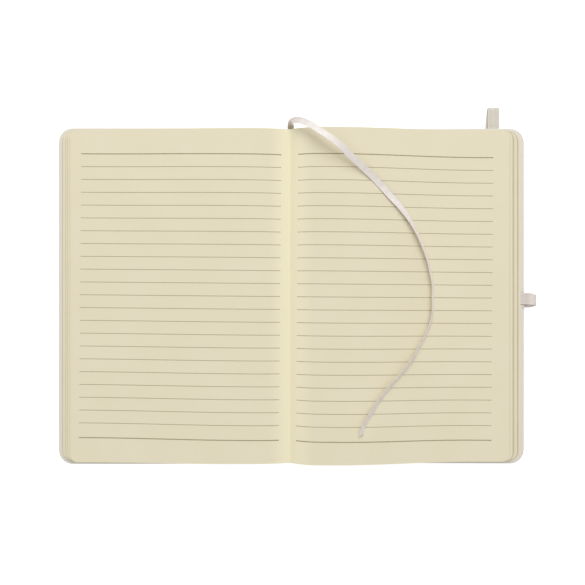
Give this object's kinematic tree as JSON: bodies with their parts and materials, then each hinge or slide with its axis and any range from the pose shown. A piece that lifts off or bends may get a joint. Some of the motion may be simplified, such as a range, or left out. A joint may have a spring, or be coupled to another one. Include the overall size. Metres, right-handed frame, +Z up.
{
  "type": "notebook",
  "caption": "Case-bound notebook lying open on a curved gutter, with ruled leaves, a ribbon marker, an elastic closing band and a pen loop.",
  "frame": {"origin": "middle of the spine's underside, on the table", "axes": "+X from the front cover on the left to the back cover on the right, +Y from tail to head, +Z up"},
  "size_m": [0.2995, 0.2237, 0.0236],
  "materials": {
    "wrap": "fine-grained imitation leather, satin",
    "board": "grey-brown millboard",
    "lining": "glued paper lining",
    "leaves": "uncoated cream writing paper",
    "endpaper": "uncoated cream paper",
    "ink": "pale printed ruling",
    "ribbon": "woven satin",
    "elastic": "ribbed elastic webbing",
    "loop": "ribbed elastic webbing"
  },
  "bodies": {
    "spine": {"spine_wrap": "wrap", "spine_strip": "board", "spine_lining": "lining", "page_block": "leaves", "left_ruling": "ink", "right_ruling": "ink", "ribbon_marker": "ribbon"},
    "front_cover": {"front_wrap": "wrap", "front_board": "board", "front_endpaper": "endpaper"},
    "back_cover": {"back_wrap": "wrap", "back_board": "board", "back_endpaper": "endpaper", "elastic_band": "elastic", "pen_loop": "loop"}
  },
  "joints": [
    {"name": "front_fold", "type": "hinge", "parent": "spine", "child": "front_cover", "pos_m": [-0.0075, 0, 0.0005], "axis": [0, 1, 0], "range_deg": [0, 90], "deforming": ["page_block", "left_ruling"]},
    {"name": "back_fold", "type": "hinge", "parent": "spine", "child": "back_cover", "pos_m": [0.0075, 0, 0.0005], "axis": [0, -1, 0], "range_deg": [0, 89.3], "deforming": ["right_ruling", "ribbon_marker"]}
  ]
}
